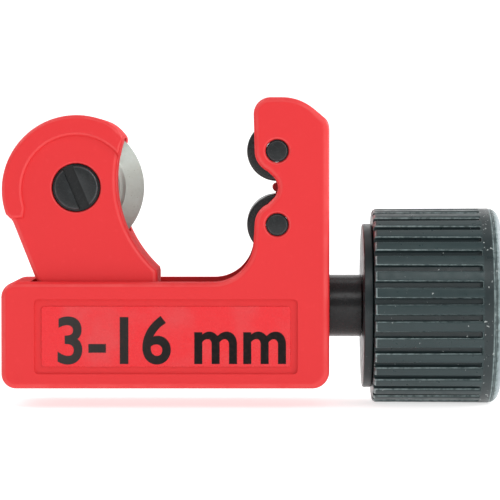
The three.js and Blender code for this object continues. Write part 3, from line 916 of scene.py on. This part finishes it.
def roller_piece(place, z):
    """A roller with a waist in the middle."""
    node = f"{place}_roller"
    low, high = box_mm(node)
    front = low[1]
    r = (high[2] - low[2]) / 2
    waist_r = r - 1
    side = [(PIN_R + RUNNING, front, 0.15), (r, front, 0.4), (r, -2.7, 0.3), (waist_r, -1.7, 0.4)]
    profile = rounded(mirrored(side), 6)
    piece = lathe(f"{node}_skin", profile + profile[:1], (ROLLER_X, z), segments=128)
    finish_piece(piece, node, f"roller_{place}", BLACK)


def pin_piece(place, z):
    """A pin with a narrower stretch at each end."""
    node = f"{place}_roller_pin"
    front = box_mm(node)[0][1]
    face_r = PIN_R - 0.17
    shoulder = front + 0.5
    side = [(0, front, 0), (face_r, front, 0.12), (face_r, shoulder, 0.03), (PIN_R, shoulder, 0.03)]
    piece = lathe(f"{node}_skin", rounded(mirrored(side), 6), (ROLLER_X, z), segments=64)
    finish_piece(piece, node, "frame", GLINT_STEEL)


for place, z in ROLLER_ZS.items():
    roller_piece(place, z)
    pin_piece(place, z)


# ---- Feed screw ----

THREAD_START = -10.0
THREAD_END = 13.4
CORE_R = 2.45
PITCH = 1.0
SPIGOT_LEFT = 27.0


def thread_radius(phase):
    """Radius of the thread at a share of the pitch, with a flat crest and root."""
    away = abs(((phase + 0.5) % 1.0) - 0.5)
    rise = min(max((0.40 - away) / 0.30, 0), 1)
    return CORE_R + (THREAD_R - CORE_R) * rise


def thread_piece():
    """The helical ridge on its core. It fades out over the first and the last turn."""
    around = 48
    per_pitch = 10
    rows = int(round((THREAD_END - THREAD_START) / PITCH * per_pitch))
    points = []
    for row in range(rows + 1):
        for i in range(around):
            share = row / per_pitch - i / around
            x = THREAD_START + row * PITCH / per_pitch
            a = 2 * math.pi * i / around
            fade = min(row / per_pitch, (rows - row) / per_pitch, 1)
            r = CORE_R + (thread_radius(share) - CORE_R) * fade
            points.append((x, r * math.cos(a), SCREW_Z + r * math.sin(a)))
    faces = [tuple(range(around)), tuple(range(rows * around, (rows + 1) * around))]
    for row in range(rows):
        for i in range(around):
            a = row * around + i
            b = row * around + (i + 1) % around
            faces.append((a, b, b + around, a + around))
    return mesh_object("thread", points, faces)


def feed_screw():
    """Pilot, thread, journal with the ring's groove, and a spigot with a flat and a tapped hole."""
    low, high = box_mm("feed_screw")
    left, right = low[0], high[0]
    groove_left, groove_right, groove_r = 14.3, 15.0, 2.45
    hole_r, hole_end = 1.53, right - 7
    corners = [
        (0, left, 0),
        (PILOT_R, left, 0.5),
        (PILOT_R, THREAD_START + 0.05, 0.2),
        (CORE_R, THREAD_START + 0.3, 0),
        (CORE_R, THREAD_END - 0.1, 0),
        (JOURNAL_R, THREAD_END, 0.15),
        (JOURNAL_R, groove_left, 0.08),
        (groove_r, groove_left, 0.05),
        (groove_r, groove_right, 0.05),
        (JOURNAL_R, groove_right, 0.08),
        (JOURNAL_R, SPIGOT_LEFT, 0.1),
        (SPIGOT_R, SPIGOT_LEFT, 0.05),
        (SPIGOT_R, right, 0.2),
        (hole_r, right, 0.1),
        (hole_r, hole_end, 0),
        (0, hole_end, 0),
    ]
    piece = lathe("feed_screw_skin", rounded(corners, 4), SCREW_AXIS, "X", 64)
    flat = block("flat", (SPIGOT_LEFT, -4, SCREW_Z + 2.0), (right + 1, 4, SCREW_Z + 4))
    combine(piece, [flat], "DIFFERENCE")
    combine(piece, [thread_piece()], "UNION")
    finish_piece(piece, "feed_screw", "feed", BLACK)


def retaining_ring():
    """A ring that is open at the top."""
    low, high = box_mm("retaining_ring")
    outer_r, inner_r = 4.6, 2.48
    start, end = 125, 415
    outline = arc(*SCREW_AXIS, outer_r, start, end, 60) + arc(*SCREW_AXIS, inner_r, end, start, 60)
    piece = prism("retaining_ring_skin", outline, low[0], high[0], "X")
    bevel(piece, 0.08, 2, 50)
    finish_piece(piece, "retaining_ring", "feed", PLAIN)


def screw_ring(node, inner, material, edge=0.08):
    """A ring about the feed screw, as long and as wide as its CAD node."""
    low, high = box_mm(node)
    outer = (high[2] - low[2]) / 2
    piece = ring(f"{node}_skin", inner, outer, low[0], high[0], SCREW_AXIS, "X", edge)
    finish_piece(piece, node, "feed", material)


feed_screw()
retaining_ring()
screw_ring("thrust_washer", JOURNAL_R + RUNNING, PLAIN)
screw_ring("neck_sleeve", JOURNAL_R + SEATED, BLACK, 0.15)
screw_ring("knob_flange", SPIGOT_R + SEATED, KNOB, 0.25)
screw_ring("knob_washer", 1.65, PLAIN)


# ---- Knob ----

RIBS = 36
RIB_DEPTH = 0.62


def rib_share(share):
    """How deep the groove is, at a share of the pitch from a rib's middle: 0 to 1."""
    away = abs(((share + 0.5) % 1.0) - 0.5)
    t = min(max((away - 0.27) / 0.09, 0), 1)
    return t * t * (3 - 2 * t) + 0.12 * min(max((away - 0.23) / 0.04, 0), 1) ** 2 * (1 - t)


def sleeve_stations(left, right):
    """Places along the sleeve, each with how far its outside is drawn in there."""
    stations = [(left, 0.45), (left + 0.12, 0.2), (left + 0.35, 0.04)]
    stations += [(x, 0) for x in (left + 0.6, left + 5, 36)]
    stations += [(RIBS_END - back, 0) for back in (0.75, 0.5, 0.3, 0.14, 0.04, 0, -0.25)]
    return stations + [(right - 0.25, 0), (right - 0.08, 0.05), (right, 0.16)]


def knob_sleeve():
    """The ribbed sleeve. It widens slightly to the right, where its grooves run out in a plain band."""
    low, high = box_mm("knob_sleeve")
    left, right = low[0], high[0]
    hole_r, chamfer = 10.6, 0.1
    draft = 0.08
    run_out_length = 0.6
    half = [0.12, 0.23, 0.25, 0.27, 0.285, 0.30, 0.315, 0.33, 0.345, 0.36, 0.39]
    shares = [-0.5] + [-share for share in reversed(half)] + [0] + half
    angles = [(rib + share) * 2 * math.pi / RIBS for rib in range(RIBS) for share in shares]
    cuts = [rib_share(share) for share in shares] * RIBS
    rows = []
    for x, inset in sleeve_stations(left, right):
        grow = draft * (x - left) / (right - left) - draft
        run_out = min(max((RIBS_END - x) / run_out_length, 0), 1)
        depth = RIB_DEPTH * math.sqrt(run_out * (2 - run_out))
        rows.append([(x, KNOB_R + grow - max(inset, depth * cut)) for cut in cuts])
    hole = [(right, hole_r + chamfer), (right - chamfer, hole_r)]
    hole += [(left + chamfer, hole_r), (left, hole_r + chamfer)]
    rows += [[point] * len(angles) for point in hole]
    points = []
    for row in rows:
        for (x, r), a in zip(row, angles):
            points.append((x, r * math.cos(a), SCREW_Z + r * math.sin(a)))
    count = len(angles)
    faces = []
    for row in range(len(rows)):
        for i in range(count):
            j = (i + 1) % count
            a, b = row * count, ((row + 1) % len(rows)) * count
            faces.append((a + i, a + j, b + j, b + i))
    piece = mesh_object("knob_sleeve_skin", points, faces)
    finish_piece(piece, "knob_sleeve", "feed", KNOB)


def knob_core():
    """The core, with a pocket for the knob's screw."""
    low, high = box_mm("knob_core")
    left, right = low[0], high[0]
    outer_r = (high[2] - low[2]) / 2
    hole_r = SPIGOT_R + SEATED
    pocket_r, pocket_floor = 6, 38.6
    corners = [
        (hole_r, left, 0.1),
        (outer_r, left, 0.2),
        (outer_r, right, 0.2),
        (pocket_r, right, 0.2),
        (pocket_r, pocket_floor, 0.3),
        (hole_r, pocket_floor, 0.1),
    ]
    profile = rounded(corners, 4)
    piece = lathe("knob_core_skin", profile + profile[:1], SCREW_AXIS, "X")
    finish_piece(piece, "knob_core", "feed", KNOB)


def knob_cap():
    """A plug inside the sleeve, and outside it a rim with an elliptical edge and a low dome."""
    low, high = box_mm("knob_end_cap")
    left, right = low[0], high[0]
    plug_r = 10.5
    corners = [(0, left, 0), (plug_r, left, 0.2), (plug_r, CAP_SEAM, 0.05), (CAP_R, CAP_SEAM, 0.18)]
    wall = [(CAP_R, CAP_SEAM + 0.5, 0), (0, CAP_SEAM + 0.5, 0)]
    profile = rounded(corners + wall, 4)[:-2]
    edge_width, edge_length, edge_left = 1.9, 1.25, right - 1.45
    steps = 13
    for i in range(steps):
        a = math.radians(90 * i / steps)
        r = CAP_R - edge_width * (1 - math.cos(a))
        profile.append((r, edge_left + edge_length * math.sin(a)))
    dome_r, dome_height, dome_steps = CAP_R - edge_width, 0.19, 12
    for i in range(1, dome_steps + 1):
        away = 1 - i / dome_steps
        profile.append((dome_r * away, right - dome_height * away**1.6))
    piece = lathe("knob_end_cap_skin", profile, SCREW_AXIS, "X", 144)
    finish_piece(piece, "knob_end_cap", "feed", KNOB)


def knob_screw():
    """A small slotted screw with a domed head."""
    low, high = box_mm("knob_screw")
    left, right = low[0], high[0]
    head_left = right - 1.7
    shank_r, head_r = 1.5, 2.8
    corners = [
        (0, left, 0),
        (shank_r, left, 0.3),
        (shank_r, head_left, 0.05),
        (head_r, head_left, 0.1),
        (head_r, right, 0.8),
        (0, right, 0),
    ]
    piece = lathe("knob_screw_skin", rounded(corners, 6), SCREW_AXIS, "X", 64)
    half, depth = 0.4, 0.8
    slot = block("slot", (right - depth, -4, SCREW_Z - half), (right + 1, 4, SCREW_Z + half))
    combine(piece, [slot], "DIFFERENCE")
    finish_piece(piece, "knob_screw", "feed", PLAIN)


knob_sleeve()
knob_core()
knob_cap()
knob_screw()


# ---- Stage, light and camera ----


def backdrop():
    """A pale floor that curves up behind the part and gives off a little light. Sizes in metres."""
    floor_z = cad_box[0][2]
    wide, near, far, height, bend = 3.0, -1.5, 1.2, 1.6, 0.5
    line = [(near, floor_z)]
    for i in range(17):
        a = math.radians(-90 + 90 * i / 16)
        line.append((far - bend + bend * math.cos(a), floor_z + bend + bend * math.sin(a)))
    line.append((far, floor_z + height))
    points = [(x, y, z) for x in (-wide, wide) for y, z in line]
    count = len(line)
    faces = [(i, i + 1, i + 1 + count, i + count) for i in range(count - 1)]
    mesh = bpy.data.meshes.new("backdrop")
    mesh.from_pydata(points, [], faces)
    mesh.shade_smooth()
    floor = new_object("backdrop", mesh)
    pale = Shader("pale_floor", (0.55, 0.55, 0.55), 0.8)
    pale.set("Emission Color", (1, 1, 1, 1))
    pale.set("Emission Strength", 0.7)
    pale.bump(pale.noise(40, 3), 0.2, 0.1)
    mesh.materials.append(pale.material)


def area_light(name, place, aim, size, power):
    """A soft panel, with its place and size in metres and its power in watts."""
    data = bpy.data.lights.new(name, "AREA")
    data.shape = "RECTANGLE"
    data.size, data.size_y = size
    data.energy = power
    light = new_object(name, data)
    light.location = place
    light.rotation_euler = (Vector(aim) - Vector(place)).to_track_quat("-Z", "Y").to_euler()


def world():
    """Even white light from all around."""
    scene_world = bpy.data.worlds.new("studio")
    scene_world.use_nodes = True
    background = scene_world.node_tree.nodes["Background"]
    background.inputs["Color"].default_value = (1, 1, 1, 1)
    background.inputs["Strength"].default_value = 0.42
    bpy.context.scene.world = scene_world


def camera():
    """A long lens in front of the part, a little above the jaw and looking slightly down."""
    data = bpy.data.cameras.new("camera")
    data.sensor_width = 36
    data.lens = 223.2
    data.clip_end = 20
    eye = Vector((12.2, -431, 30.8)) * MM
    aim = Vector((11.5, 0, 18.56)) * MM
    camera_object = new_object("camera", data)
    camera_object.location = eye
    camera_object.rotation_euler = (aim - eye).to_track_quat("-Z", "Y").to_euler()
    bpy.context.scene.camera = camera_object


backdrop()
world()
# front lights the faces, the neck and the knob's ribs, and front_right and key light the wheel.
# right, upper_left and back_wall light the edges on the right, on the left and at the top.
area_light("front", (0.03, -0.7, 0.6), (0, 0, 0.02), (0.7, 0.3), 1.4)
area_light("front_right", (0.5, -0.55, 0.12), (0.02, 0, 0.02), (0.04, 0.5), 0.9)
area_light("key", (0.5, -0.25, 0.4), (0.02, 0, 0.02), (0.1, 0.1), 0.9)
area_light("right", (0.6, 0.3, 0.12), (0.03, 0, 0.012), (0.4, 0.7), 3.8)
area_light("upper_left", (-0.5, 0.1, 0.6), (0, 0, 0.02), (0.5, 0.5), 2)
area_light("back_wall", (0, 0.3, 0.9), (0, 1.2, 0.2), (1.5, 0.8), 3)
camera()
bpy.context.scene.view_settings.view_transform = "Standard"
